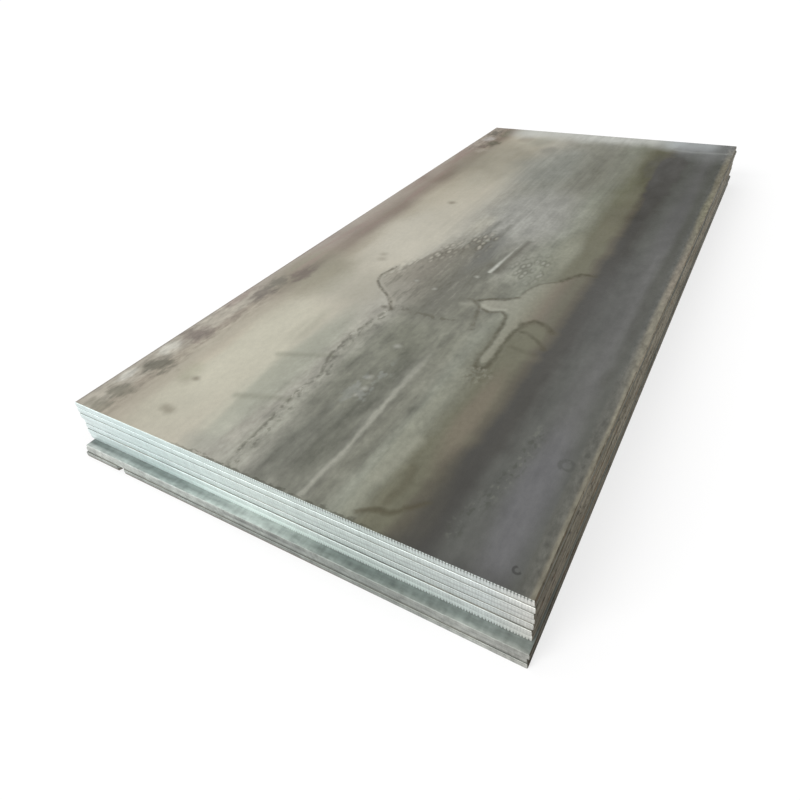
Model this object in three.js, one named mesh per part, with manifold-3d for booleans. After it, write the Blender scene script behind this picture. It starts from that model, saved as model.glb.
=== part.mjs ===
// A stack of hot-rolled steel plates lying flat: a lower pack of three plates, and an upper
// pack of seven that is set back on it. Each plate is a solid of its own.
//
// Millimetres. X runs across the plates, Y along their length, with the near end at -Y, and
// Z up. The origin is the middle of the stack's footprint, on the floor.
import * as THREE from "three";
import { mergeVertices } from "three/addons/utils/BufferGeometryUtils.js";
import Module from "manifold-3d";

// One plate
const WIDTH = 1250; // nominal, between the two mill edges
const LENGTH = 2800; // between the two sheared ends
const LOWER_THICKNESS = 16;
const UPPER_THICKNESS = 18;

// A mill edge: rolled, never cut, so it bulges outwards along the whole length
const MILL_BULGE = 4.5; // how far the round edge reaches past the flat faces
const MILL_SEGMENTS = 5; // two facets each
const CAMBER_STEPS = 12; // pieces that a long edge's slow curve is made of

// A sheared end, from the upper face down: rolled over, burnished, then broken
const ROLLOVER = 2.2; // radius where the blade first pressed the edge down
const ARC_SEGMENTS = 3; // on a rollover or a corner's round, two facets each
const BURNISHED = 0.35; // share of the thickness that is upright, rollover included
const BREAK_DEPTH = 1.1; // how far the broken face draws back below that band

// The burr that hangs from the lower arris of a sheared end
const BURR_HEIGHT = 0.3;
const BURR_WIDTH = 0.5;
const BURR_ROOT = 0.05; // how far the burr starts inside the plate

const CORNER_RADIUS = 3.5; // seen from above
const CLEARANCE = 0.3;
const GAP = BURR_HEIGHT + CLEARANCE; // the burrs hold two plates this far apart

// How each plate lies in its pack, from the bottom up. over is how much wider than WIDTH it was
// rolled, right and back are shifts along X and Y, yaw is in degrees, and camber is how far the
// long edges bow towards +X at mid-length.
const LOWER_PACK = [
  { over: 26, right: -14.0, back: -0.5, yaw: 0.02, camber: -0.8, burrs: false, nick: true },
  { over: 17, right: -11.0, back: 1.5, yaw: -0.03, camber: 1.0, burrs: true },
  { over: 9, right: -4.0, back: 0.0, yaw: 0.01, camber: -0.6, burrs: true },
];
const UPPER_PACK = [
  { over: 9, right: -1.5, back: 1.6, yaw: 0.02, camber: 1.2, burrs: true },
  { over: 7, right: -0.5, back: -0.8, yaw: -0.03, camber: -1.4, burrs: true },
  { over: 6, right: 0.0, back: 1.2, yaw: 0.01, camber: 0.6, burrs: true },
  { over: 4, right: 0.5, back: 2.2, yaw: 0.03, camber: 1.6, burrs: true },
  { over: 3, right: 1.0, back: -1.6, yaw: -0.02, camber: -0.8, burrs: true },
  { over: 5, right: 1.5, back: -0.6, yaw: -0.04, camber: 1.0, burrs: true },
  { over: 0, right: 0.0, back: 0.0, yaw: 0.0, camber: 0.0, burrs: true },
];
const LOWER_PACK_SHIFT = { right: 9, back: -25 }; // the lower pack sticks out at the near end

// A nick knocked into the lowest plate's near end, its point leaning towards -X
const NICK = { fromLeft: 143, width: 28, depth: 20, lean: 7 };

// Where a cutter passes the face that it cuts
const OVERRUN = 3;

const STEEL = {
  lower: { color: 0x8d8f8b, roughness: 0.6, metalness: 0.75 },
  upper: { color: 0xb4bab9, roughness: 0.45, metalness: 0.8 },
  top: { color: 0x8f8b80, roughness: 0.5, metalness: 0.6 },
};

const wasm = await Module();
wasm.setup();

function solidOf(geometry) {
  const bare = geometry.clone();
  bare.deleteAttribute("normal");
  bare.deleteAttribute("uv");
  const merged = mergeVertices(bare);
  return new wasm.Manifold(
    new wasm.Mesh({
      numProp: 3,
      vertProperties: merged.attributes.position.array,
      triVerts: new Uint32Array(merged.index.array),
    }),
  );
}

function geometryOf(solid) {
  const { vertProperties, triVerts } = solid.getMesh();
  const shared = new THREE.BufferGeometry()
    .setAttribute("position", new THREE.BufferAttribute(vertProperties, 3))
    .setIndex(new THREE.BufferAttribute(triVerts, 1));
  const flat = shared.toNonIndexed();
  flat.computeVertexNormals();
  return flat;
}

// Extrudes an outline drawn in X and Z along Y, centred on the X axis.
function extrudeAlongY(outline, length, curveSegments, steps) {
  const settings = { depth: length, curveSegments, steps, bevelEnabled: false };
  return new THREE.ExtrudeGeometry(outline, settings)
    .translate(0, 0, -length / 2)
    .rotateX(Math.PI / 2);
}

// Extrudes an outline drawn in Y and Z along X, centred on the Y axis.
function extrudeAlongX(outline, width, curveSegments) {
  const settings = { depth: width, curveSegments, bevelEnabled: false };
  return new THREE.ExtrudeGeometry(outline, settings)
    .translate(0, 0, -width / 2)
    .rotateX(Math.PI / 2)
    .rotateZ(Math.PI / 2);
}

// Extrudes an outline drawn in X and Y through the plate's whole thickness.
function extrudeThrough(outline, thickness, curveSegments) {
  const depth = thickness + 2 * OVERRUN;
  const settings = { depth, curveSegments, bevelEnabled: false };
  return new THREE.ExtrudeGeometry(outline, settings).translate(0, 0, -OVERRUN);
}

// The plate cut across: two flat faces and two mill edges.
function millSection(width, thickness) {
  const flat = width / 2 - MILL_BULGE;
  const middle = thickness / 2;
  const outline = new THREE.Shape();
  outline.moveTo(-flat, 0);
  outline.lineTo(flat, 0);
  outline.absellipse(flat, middle, MILL_BULGE, middle, -Math.PI / 2, Math.PI / 2);
  outline.lineTo(-flat, thickness);
  outline.absellipse(-flat, middle, MILL_BULGE, middle, Math.PI / 2, 1.5 * Math.PI);
  return outline;
}

// The plate cut along its length: two sheared ends, each the other's mirror image.
function shearedProfile(thickness) {
  const end = LENGTH / 2;
  const top = thickness;
  const broken = thickness * (1 - BURNISHED);
  const outline = new THREE.Shape();
  outline.moveTo(-end + BREAK_DEPTH, 0);
  outline.lineTo(end - BREAK_DEPTH, 0);
  outline.lineTo(end, broken);
  outline.lineTo(end, top - ROLLOVER);
  outline.absarc(end - ROLLOVER, top - ROLLOVER, ROLLOVER, 0, Math.PI / 2);
  outline.lineTo(-end + ROLLOVER, top);
  outline.absarc(-end + ROLLOVER, top - ROLLOVER, ROLLOVER, Math.PI / 2, Math.PI);
  outline.lineTo(-end, broken);
  return outline;
}

// Moves every vertex sideways by a bow that is deepest at mid-length and nothing at the ends.
function bow(geometry, camber) {
  const position = geometry.attributes.position;
  for (let i = 0; i < position.count; i += 1) {
    const along = position.getY(i) / (LENGTH / 2);
    position.setX(i, position.getX(i) + camber * (1 - along * along));
  }
  return geometry;
}

// What a round corner takes off a square one, drawn for the corner at +X and +Y.
function cornerCutter(thickness) {
  const r = CORNER_RADIUS;
  const outline = new THREE.Shape();
  outline.moveTo(0, -r);
  outline.absarc(-r, -r, r, 0, Math.PI / 2);
  outline.lineTo(-r, OVERRUN);
  outline.lineTo(OVERRUN, OVERRUN);
  outline.lineTo(OVERRUN, -r);
  return extrudeThrough(outline, thickness, ARC_SEGMENTS);
}

function roundCorners(plate, width, thickness) {
  let result = plate;
  for (const x of [-1, 1]) {
    for (const y of [-1, 1]) {
      const cutter = cornerCutter(thickness);
      const turn = Math.atan2(y, x) - Math.PI / 4;
      cutter.rotateZ(turn).translate((x * width) / 2, (y * LENGTH) / 2, 0);
      result = result.subtract(solidOf(cutter));
    }
  }
  return result;
}

// A burr along one sheared end: a thin fin under the arris, side -1 near or 1 far.
function burr(side, width) {
  const arris = LENGTH / 2 - BREAK_DEPTH - BURR_ROOT;
  const outline = new THREE.Shape();
  outline.moveTo(side * (arris - BURR_WIDTH), BURR_ROOT);
  outline.lineTo(side * arris, -BURR_HEIGHT);
  outline.lineTo(side * arris, BURR_ROOT);
  return extrudeAlongX(outline, width - 2 * MILL_BULGE - 2 * CORNER_RADIUS, 1);
}

// A V knocked into the near end, right through the plate.
function nickCutter(width, thickness) {
  const middle = -width / 2 + NICK.fromLeft;
  const left = middle - NICK.width / 2;
  const right = middle + NICK.width / 2;
  const point = middle - NICK.lean;
  const end = -LENGTH / 2;
  const outline = new THREE.Shape();
  outline.moveTo(left, end - OVERRUN);
  outline.lineTo(right, end - OVERRUN);
  outline.lineTo(right, end);
  outline.quadraticCurveTo((point + right) / 2, end + NICK.depth, point, end + NICK.depth);
  outline.lineTo(left, end);
  return extrudeThrough(outline, thickness, ARC_SEGMENTS);
}

function plateGeometry(thickness, { over, camber, burrs, nick }) {
  const width = WIDTH + over;
  const section = millSection(width, thickness);
  const strip = extrudeAlongY(section, LENGTH + 2 * OVERRUN, MILL_SEGMENTS, CAMBER_STEPS);
  const cut = extrudeAlongX(shearedProfile(thickness), width + 2 * OVERRUN, ARC_SEGMENTS);
  let plate = solidOf(bow(strip, camber)).intersect(solidOf(cut));
  plate = roundCorners(plate, width, thickness);
  if (nick) plate = plate.subtract(solidOf(nickCutter(width, thickness)));
  if (burrs) plate = plate.add(solidOf(burr(-1, width))).add(solidOf(burr(1, width)));
  return geometryOf(plate);
}

function plateMesh(name, thickness, lie, height, steel) {
  const material = new THREE.MeshStandardMaterial(steel);
  const mesh = new THREE.Mesh(plateGeometry(thickness, lie), material);
  mesh.name = name;
  mesh.position.set(lie.right, lie.back, height);
  mesh.rotation.z = THREE.MathUtils.degToRad(lie.yaw);
  return mesh;
}

function pack(prefix, thickness, lies, steelOf) {
  const group = new THREE.Group();
  lies.forEach((lie, i) => {
    const height = i * (thickness + GAP);
    group.add(plateMesh(`${prefix}_plate_${i + 1}`, thickness, lie, height, steelOf(i)));
  });
  return group;
}

const lowerPack = pack("lower", LOWER_THICKNESS, LOWER_PACK, () => STEEL.lower);
lowerPack.position.set(LOWER_PACK_SHIFT.right, LOWER_PACK_SHIFT.back, 0);

const last = UPPER_PACK.length - 1;
const upperSteel = (i) => (i === last ? STEEL.top : STEEL.upper);
const upperPack = pack("upper", UPPER_THICKNESS, UPPER_PACK, upperSteel);
upperPack.position.set(0, 0, LOWER_PACK.length * (LOWER_THICKNESS + GAP));

// The packs are moved together so that the origin is the middle of their common footprint.
const packs = new THREE.Group().add(lowerPack, upperPack);
const middle = new THREE.Box3().setFromObject(packs, true).getCenter(new THREE.Vector3());
packs.position.set(-middle.x, -middle.y, 0);

const stack = new THREE.Group().add(packs);

export default stack;
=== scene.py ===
"""Two packs of hot-rolled steel plates: the finish of every surface, the floor, the light and the camera.

Metres, in the frame of the solids: X across the plates, Y along them with the near end at -Y, Z up.
"""

import random

import bpy
from mathutils import Matrix, Vector


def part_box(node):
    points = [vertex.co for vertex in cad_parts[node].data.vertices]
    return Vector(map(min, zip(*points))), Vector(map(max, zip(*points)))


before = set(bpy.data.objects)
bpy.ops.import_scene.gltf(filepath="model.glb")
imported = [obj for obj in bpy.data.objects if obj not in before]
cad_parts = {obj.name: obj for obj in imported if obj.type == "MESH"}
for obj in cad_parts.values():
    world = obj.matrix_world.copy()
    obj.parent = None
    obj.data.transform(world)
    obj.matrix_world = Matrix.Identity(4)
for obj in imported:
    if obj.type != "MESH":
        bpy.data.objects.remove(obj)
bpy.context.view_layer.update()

TOP = "upper_plate_7"
LEDGE = "lower_plate_3"
UPPER = [f"upper_plate_{i}" for i in range(1, 8)]
LOWER = [f"lower_plate_{i}" for i in range(1, 4)]

# The photo's camera, solved from the corners and edges of the top plate
SENSOR_WIDTH = 36
CAMERA_LENS = 26.4136  # millimetres, as the sensor is
CAMERA_FROM_TOP_CORNER = (1.38123, -0.57965, 0.8993)  # from the top plate's near left corner
CAMERA_RIGHT = (0.86371, 0.50037, -0.06032)
CAMERA_UP = (-0.27044, 0.56112, 0.78231)

SKY_LIGHT = 0.7  # what the surroundings give to matt surfaces
SKY_SEEN = 1.0  # what they look like, directly or mirrored
FLOOR_REACH = 60  # to each side, past the picture's edges
FLOOR_ALBEDO = 0.35
FLOOR_GLOW = 0.68  # makes the floor look pale without lighting the plates
KEY_STRENGTH = 2.2
KEY_ANGLE = 0.6  # radians across the soft light
KEY_FROM = (-3.0, -6.5, 3.6)

DULL_SPECULAR = 0.15  # mill scale is dull, and a white room shows in it only at a low angle
FACE_ROUGHNESS = 0.36
FACE_METALLIC = 0.22
BUMP_STRENGTH = 0.35
BUMP_DEPTH = 0.0012

NOISE_ROUGHNESS = 0.55
ONE_LUMP_HIGH = 1.0  # metres, so that a noise without a height is as good as flat
NOISE_SHIFT = 40  # a noise starts within so many of its lumps from the plate's corner
DROPLET_SHIFT = (10, 40)
WOBBLES = 4  # different outlines that the soft patches share
PATCH_FADE = (1.15, 0.35)  # where a soft patch starts and is full, in half sizes
BLOTCH_FADE = (1.4, 0.35)  # the same for a torn blotch
MILL_SIDE = (0.485, 0.49)  # from the middle, in widths: a mill edge lies past this
SIDEWAYS = (0.3, 0.6)  # how much a normal on a mill edge points across the plate
ENDWAYS = (0.35, 0.6)  # how much a normal on an end points along it


def linear(colour):
    """A colour in linear light, as shaders use it. This file has what a screen shows, 0 to 255."""

    def part(value):
        value = value / 255
        return value / 12.92 if value <= 0.04045 else ((value + 0.055) / 1.055) ** 2.4

    return (*map(part, colour), 1.0)


class Field:
    """A number that varies over a surface. Arithmetic on it adds math nodes."""

    def __init__(self, surface, socket):
        self.surface = surface
        self.socket = socket

    def math(self, operation, *others):
        return self.surface.math(operation, self, *others)

    def __add__(self, other):
        return self.math("ADD", other)

    def __sub__(self, other):
        return self.math("SUBTRACT", other)

    def __rsub__(self, other):
        return self.surface.math("SUBTRACT", other, self)

    def __mul__(self, other):
        return self.math("MULTIPLY", other)

    def __truediv__(self, other):
        return self.math("DIVIDE", other)

    def __abs__(self):
        return self.math("ABSOLUTE")

    __radd__ = __add__

    def either(self, other):
        return self.math("MAXIMUM", other)

    def ease(self, start, end):
        """0 up to start, 1 from end on, smooth between; start may be the larger one."""
        node = self.surface.put("ShaderNodeMapRange", interpolation_type="SMOOTHSTEP", clamp=False)
        self.surface.feed(node.inputs["Value"], self)
        low, high = min(start, end), max(start, end)
        node.inputs["From Min"].default_value = low
        node.inputs["From Max"].default_value = high
        node.inputs["To Min"].default_value = 0.0 if start < end else 1.0
        node.inputs["To Max"].default_value = 1.0 if start < end else 0.0
        return Field(self.surface, node.outputs["Result"])

    def within(self, start, end, fade):
        """1 between start and end, 0 outside, with soft ends."""
        return self.ease(start - fade, start + fade) * self.ease(end + fade, end - fade)


class Surface:
    """The node tree of one plate's material, and where on the plate a shaded point lies."""

    def __init__(self, name, box):
        self.material = bpy.data.materials.new(name)
        self.material.use_nodes = True
        self.tree = self.material.node_tree
        self.tree.nodes.clear()
        low, high = box
        self.width = high[0] - low[0]
        self.length = high[1] - low[1]
        self.thickness = high[2] - low[2]
        self.low = Vector(low)
        self.wobbles = {}
        self.colour = None
        self.coordinate = self.put("ShaderNodeTexCoord").outputs["Object"]
        self.place = self.vector("SUBTRACT", self.coordinate, low).outputs[0]
        self.across, self.along, self.up = self.split(self.place)
        self.u = self.across / self.width
        self.v = self.along / self.length
        normal = self.put("ShaderNodeNewGeometry").outputs["Normal"]
        facing_x, facing_y, facing_z = self.split(normal)
        # The nick's walls face sideways too, but away from the long sides, so they count as an end
        long_side = abs(self.u - 0.5).ease(*MILL_SIDE)
        self.is_mill = abs(facing_x).ease(*SIDEWAYS) * long_side
        self.is_end = abs(facing_y).either(abs(facing_x)).ease(*ENDWAYS) - self.is_mill
        self.facing_up = facing_z

    def put(self, kind, **settings):
        node = self.tree.nodes.new(kind)
        for key, value in settings.items():
            setattr(node, key, value)
        return node

    def feed(self, socket, value):
        """Links a field or another node's socket, or sets a plain value."""
        if isinstance(value, Field):
            self.tree.links.new(value.socket, socket)
        elif isinstance(value, bpy.types.NodeSocket):
            self.tree.links.new(value, socket)
        else:
            socket.default_value = value

    def feed_colour(self, socket, colour):
        self.feed(socket, linear(colour) if isinstance(colour, tuple) else colour)

    def split(self, vector):
        node = self.put("ShaderNodeSeparateXYZ")
        self.feed(node.inputs[0], vector)
        return [Field(self, output) for output in node.outputs]

    def math(self, operation, *values):
        node = self.put("ShaderNodeMath", operation=operation)
        for socket, value in zip(node.inputs, values):
            self.feed(socket, value)
        return Field(self, node.outputs[0])

    def vector(self, operation, *values):
        node = self.put("ShaderNodeVectorMath", operation=operation)
        for socket, value in zip(node.inputs, values):
            self.feed(socket, value)
        return node

    def pattern(self, kind, scale, location, **settings):
        """A texture node in its own units."""
        scaled = self.put("ShaderNodeMapping")
        self.feed(scaled.inputs["Vector"], self.coordinate)
        scaled.inputs["Scale"].default_value = scale
        scaled.inputs["Location"].default_value = location
        node = self.put(kind, **settings)
        self.feed(node.inputs["Vector"], scaled.outputs[0])
        node.inputs["Scale"].default_value = 1.0
        return node

    def noise(self, size, seed, detail=3):
        """Cloudy noise around 0.5: its lumps are about size metres across, along and maybe up."""
        size = (*size, ONE_LUMP_HIGH)[:3]
        draw = random.Random(seed)
        shifts = [draw.uniform(-NOISE_SHIFT, NOISE_SHIFT) for _ in size]
        location = [shift - start / part for shift, start, part in zip(shifts, self.low, size)]
        node = self.pattern("ShaderNodeTexNoise", [1 / part for part in size], location)
        node.inputs["Detail"].default_value = detail
        node.inputs["Roughness"].default_value = NOISE_ROUGHNESS
        return Field(self, node.outputs[0])

    def uneven(self, size, seed, detail=3):
        """The same noise around 0."""
        return self.noise(size, seed, detail) - 0.5

    def droplets(self, size, seed):
        """The distance to the nearest of scattered points about size metres apart: 0 at a point."""
        draw = random.Random(seed)
        scale = (1 / size[0], 1 / size[1], 1.0)
        location = (draw.uniform(*DROPLET_SHIFT), draw.uniform(*DROPLET_SHIFT), 0.0)
        node = self.pattern("ShaderNodeTexVoronoi", scale, location, voronoi_dimensions="2D")
        return Field(self, node.outputs["Distance"])

    def mix(self, first, second, amount):
        """One colour turned into another by amount, a field from 0 to 1."""
        node = self.put("ShaderNodeMix", data_type="RGBA")
        self.feed(node.inputs["Factor"], amount)
        for socket, colour in zip(node.inputs[6:8], (first, second)):  # the pair for colours
            self.feed_colour(socket, colour)
        return node.outputs[2]

    def paint(self, colour, amount):
        """Lays a colour over the colour so far."""
        self.colour = self.mix(self.colour, colour, amount)

    def shade(self, factor):
        """Makes the colour so far lighter or darker by a field around 1."""
        node = self.put("ShaderNodeHueSaturation")
        self.feed(node.inputs["Color"], self.colour)
        self.feed(node.inputs["Value"], factor)
        self.colour = node.outputs[0]

    def ramp(self, field, stops):
        node = self.put("ShaderNodeValToRGB")
        self.feed(node.inputs[0], field)
        elements = node.color_ramp.elements
        elements[0].position = stops[0][0]
        elements[1].position = stops[-1][0]
        for position, _ in stops[1:-1]:
            elements.new(position)
        for element, (_, colour) in zip(elements, stops):
            element.color = linear(colour)
        return node.outputs[0]

    def curve(self, field, points):
        """The height of a drawn curve through points, for a field from 0 to 1."""
        node = self.put("ShaderNodeFloatCurve")
        self.feed(node.inputs["Value"], field)
        drawn = node.mapping.curves[0].points
        drawn[0].location = points[0]
        drawn[1].location = points[-1]
        for point in points[1:-1]:
            drawn.new(*point)
        node.mapping.update()
        return Field(self, node.outputs[0])

    def oval(self, centre, size):
        """0 at centre and 1 on an oval's outline: centre and half size as shares of the face.

        This is vector maths and no Mapping node: Cycles holds only so many values at a time, and
        a Mapping node for each patch takes the top plate past that, which turns it black.
        """
        across, along = size
        scale = (1 / across / self.width, 1 / along / self.length, 0.0)
        start = (-centre[0] / across, -centre[1] / along, 0.0)
        scaled = self.vector("MULTIPLY_ADD", self.place, scale, start)
        return Field(self, self.vector("LENGTH", scaled.outputs[0]).outputs["Value"])

    def wobble(self, number):
        """Unevenness for a patch's outline: the patches share a few, and each is made once."""
        if number not in self.wobbles:
            self.wobbles[number] = self.uneven((0.12, 0.22, 0.1), f"wobble {number}", detail=4)
        return self.wobbles[number]

    def patch(self, centre, size, number, ragged=0.7):
        """A soft oval spot, with one of the shared wobbles as its uneven outline."""
        wobble = self.wobble(number % WOBBLES)
        return wobble.math("MULTIPLY_ADD", ragged, self.oval(centre, size)).ease(*PATCH_FADE)

    def wavering_place(self, size, amount, seed):
        """Points of the flat face pushed about by up to amount metres, so drawn lines waver."""
        push = self.put("ShaderNodeCombineXYZ")
        self.feed(push.inputs["X"], self.uneven((size, size), seed + "x") * (2 * amount))
        self.feed(push.inputs["Y"], self.uneven((size, size), seed + "y") * (2 * amount))
        return self.vector("MULTIPLY_ADD", self.place, (1.0, 1.0, 0.0), push.outputs[0]).outputs[0]

    def stroke(self, place, points):
        """The distance in metres to a line drawn through points, in shares across and along."""
        corners = [Vector((u * self.width, v * self.length, 0.0)) for u, v in points]
        nearest = None
        for start, end in zip(corners, corners[1:]):
            run = end - start
            offset = self.vector("SUBTRACT", place, start).outputs[0]
            share = self.vector("DOT_PRODUCT", offset, run / run.length_squared).outputs["Value"]
            clamped = self.put("ShaderNodeClamp")
            self.feed(clamped.inputs["Value"], share)
            foot = self.vector("SCALE", run)
            self.feed(foot.inputs["Scale"], clamped.outputs[0])
            away = self.vector("DISTANCE", offset, foot.outputs[0])
            distance = Field(self, away.outputs["Value"])
            nearest = distance if nearest is None else nearest.math("MINIMUM", distance)
        return nearest

    def drop(self, place, centre, radius):
        """A soft round spot: centre as shares across and along, radius in metres."""
        spot = Vector((centre[0] * self.width, centre[1] * self.length, 0.0))
        away = self.vector("DISTANCE", place, spot)
        return Field(self, away.outputs["Value"]).ease(radius, 0.0)

    def finish(self, colour, roughness, metallic, height):
        bump = self.put("ShaderNodeBump")
        self.feed(bump.inputs["Height"], height)
        bump.inputs["Strength"].default_value = BUMP_STRENGTH
        bump.inputs["Distance"].default_value = BUMP_DEPTH
        shader = self.put("ShaderNodeBsdfPrincipled")
        self.feed(shader.inputs["Base Color"], colour)
        self.feed(shader.inputs["Roughness"], roughness)
        self.feed(shader.inputs["Metallic"], metallic)
        shader.inputs["Specular IOR Level"].default_value = DULL_SPECULAR
        self.feed(shader.inputs["Normal"], bump.outputs[0])
        output = self.put("ShaderNodeOutputMaterial")
        self.feed(output.inputs["Surface"], shader.outputs[0])
        return self.material


# ---------------- the top plate's upper face

# From the left edge, past a mauve, a cream, a grey and an olive band, to the dark band and its
# tan border: share of the width, colour
ACROSS_THE_FACE = [
    (0.0, (168, 160, 150)),
    (0.035, (158, 149, 138)),
    (0.08, (137, 127, 115)),
    (0.1, (137, 127, 115)),
    (0.14, (170, 163, 147)),
    (0.21, (186, 181, 166)),
    (0.28, (186, 181, 166)),
    (0.35, (171, 168, 157)),
    (0.42, (152, 151, 141)),
    (0.5, (139, 139, 129)),
    (0.59, (139, 139, 129)),
    (0.66, (136, 138, 126)),
    (0.735, (112, 111, 95)),
    (0.775, (112, 111, 95)),
    (0.797, (98, 94, 83)),
    (0.82, (78, 77, 73)),
    (0.843, (78, 77, 73)),
    (0.88, (95, 96, 92)),
    (0.93, (103, 103, 101)),
    (0.962, (94, 95, 90)),
    (0.978, (95, 96, 92)),
    (0.99, (130, 126, 112)),
    (1.0, (130, 126, 112)),
]

# Soft areas of another tone: colour, centre, half size, strength. Places are shares of the width
# from the left and of the length from the near end.
TONE_PATCHES = [
    ((194, 191, 174), (0.2, 0.13), (0.15, 0.17), 0.85),
    ((163, 165, 151), (0.335, 0.13), (0.055, 0.15), 0.75),
    ((190, 186, 172), (0.24, 0.46), (0.13, 0.14), 0.8),
    ((146, 142, 125), (0.11, 0.31), (0.12, 0.07), 0.85),
    ((122, 114, 102), (0.085, 0.31), (0.025, 0.06), 0.6),
    ((150, 143, 128), (0.13, 0.4), (0.03, 0.05), 0.45),
    ((150, 147, 131), (0.2, 0.3), (0.04, 0.05), 0.4),
    ((160, 158, 143), (0.27, 0.2), (0.03, 0.05), 0.5),
    ((163, 160, 147), (0.26, 0.3), (0.1, 0.06), 0.6),
    ((154, 150, 136), (0.2, 0.8), (0.17, 0.14), 0.75),
    ((150, 150, 138), (0.27, 0.93), (0.06, 0.04), 0.6),
    ((178, 172, 156), (0.17, 0.61), (0.1, 0.08), 0.5),
    ((160, 160, 154), (0.51, 0.58), (0.16, 0.13), 0.85),
    ((143, 145, 138), (0.42, 0.78), (0.16, 0.14), 0.75),
    ((124, 124, 114), (0.6, 0.8), (0.12, 0.13), 0.7),
    ((126, 127, 115), (0.49, 0.17), (0.09, 0.13), 0.85),
    ((108, 109, 99), (0.555, 0.09), (0.045, 0.15), 0.85),
    ((112, 113, 104), (0.5, 0.035), (0.035, 0.07), 0.8),
    ((160, 160, 148), (0.425, 0.03), (0.03, 0.08), 0.65),
    ((124, 124, 112), (0.62, 0.12), (0.035, 0.18), 0.65),
    ((142, 143, 129), (0.68, 0.1), (0.024, 0.15), 0.75),
    ((119, 120, 107), (0.54, 0.24), (0.12, 0.07), 0.65),
    ((106, 107, 96), (0.55, 0.2), (0.03, 0.05), 0.45),
    ((107, 108, 99), (0.545, 0.4), (0.03, 0.05), 0.8),
    ((118, 118, 106), (0.6, 0.32), (0.09, 0.07), 0.75),
    ((124, 114, 101), (0.758, 0.15), (0.03, 0.09), 0.55),
    ((94, 91, 80), (0.79, 0.03), (0.03, 0.07), 0.7),
    ((92, 91, 78), (0.762, 0.84), (0.05, 0.13), 0.75),
    ((74, 73, 67), (0.808, 0.8), (0.035, 0.15), 0.75),
    ((74, 73, 70), (0.825, 0.6), (0.02, 0.2), 0.6),
    ((96, 96, 95), (0.925, 0.62), (0.03, 0.16), 0.6),
    ((86, 86, 84), (0.88, 0.38), (0.06, 0.15), 0.5),
    ((112, 108, 92), (0.76, 0.6), (0.03, 0.1), 0.3),
    ((140, 140, 125), (0.705, 0.5), (0.03, 0.06), 0.5),
    ((74, 73, 70), (0.815, 0.05), (0.035, 0.12), 0.6),
    ((80, 80, 75), (0.96, 0.43), (0.02, 0.26), 0.6),
    ((130, 131, 127), (0.835, 0.955), (0.035, 0.035), 0.4),
    ((178, 179, 165), (0.345, 0.045), (0.03, 0.04), 0.55),
    ((178, 175, 162), (0.405, 0.52), (0.035, 0.05), 0.6),
    ((160, 161, 148), (0.615, 0.395), (0.03, 0.025), 0.65),
    ((146, 147, 132), (0.695, 0.47), (0.045, 0.07), 0.5),
    ((138, 138, 126), (0.405, 0.2), (0.02, 0.05), 0.5),
    ((84, 84, 78), (0.95, 0.24), (0.012, 0.02), 0.45),
    ((142, 130, 120), (0.993, 0.47), (0.012, 0.1), 0.32),
    ((134, 132, 112), (0.99, 0.68), (0.016, 0.08), 0.5),
    ((188, 177, 160), (0.135, 0.13), (0.03, 0.06), 0.45),
    ((166, 165, 144), (0.142, 0.085), (0.035, 0.02), 0.5),
    ((118, 119, 101), (0.73, 0.72), (0.035, 0.1), 0.45),
    ((112, 112, 115), (0.93, 0.08), (0.045, 0.11), 0.55),
    ((160, 159, 149), (0.39, 0.014), (0.11, 0.014), 0.6),
    ((98, 98, 95), (0.99, 0.985), (0.022, 0.018), 0.8),
    ((188, 182, 166), (0.13, 0.01), (0.03, 0.02), 0.5),
    ((70, 69, 64), (0.815, 0.8), (0.03, 0.08), 0.45),
    ((150, 151, 138), (0.68, 0.6), (0.03, 0.06), 0.35),
    ((136, 130, 118), (0.2, 0.94), (0.04, 0.03), 0.5),
    ((132, 132, 124), (0.34, 0.88), (0.04, 0.03), 0.5),
]

# Painted reflection of the pale room at the far end: pale, bluish and grey
FAR_PAINTED_REFLECTION = (196, 197, 191)
FAR_PAINTED_REFLECTION_BLUE = (190, 195, 196)
FAR_PAINTED_REFLECTION_GREY = (136, 138, 137)


def flat_tones(s):
    """Bands along the rolling direction, with softer areas laid over them."""
    drift = s.uneven((0.5, 0.9), "drift", detail=2) * 0.05
    jitter = s.uneven((0.035, 0.5), "jitter") * 0.02
    wave = s.uneven((1.0, 0.09), "boundary") * 0.05
    lean = s.v.ease(0.2, 0.0) * 0.028
    boundary = (wave + lean) * s.u.within(0.7, 0.88, 0.05)
    place = s.u + drift * s.u.within(0.12, 0.62, 0.08) + jitter + boundary
    s.colour = s.ramp(place, ACROSS_THE_FACE)
    for i, (tone, centre, size, strength) in enumerate(TONE_PATCHES):
        s.paint(tone, s.patch(centre, size, i) * strength)


def rolling_streaks(s):
    """Soft smears along the plate, strongest in the near half of its middle."""
    fine = s.uneven((0.007, 0.25), "fine streaks")
    smear = s.uneven((0.022, 0.12), "smears", detail=4)
    broad = s.uneven((0.045, 0.6), "broad streaks", detail=2)
    middle = s.u.within(0.36, 0.7, 0.05)
    worked = middle * (s.v.ease(0.7, 0.3) * 0.65 + 0.35)
    lumps = s.uneven((0.042, 0.085), "lumps", detail=5)
    far = s.v.within(0.48, 0.86, 0.06) * s.u.within(0.28, 0.72, 0.05)
    drawn = s.uneven((0.015, 0.45), "drawn streaks", detail=2)
    streaks = fine * (0.05 + middle * 0.15) + drawn * far * 0.3 + smear * (0.06 + worked * 0.48)
    dark_band = s.u.within(0.84, 0.97, 0.02) * s.v.ease(0.7, 0.45)
    swirl = s.uneven((0.028, 0.075), "swirl", detail=4) * dark_band
    return 1.0 + streaks + lumps * (worked * 1.15) + broad * (0.06 + middle * 0.26) + swirl * 0.55


def clouds(s):
    """Broad lighter and darker areas of the scale."""
    return 1.0 + s.uneven((0.14, 0.24), "clouds", detail=5) * 0.34


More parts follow.
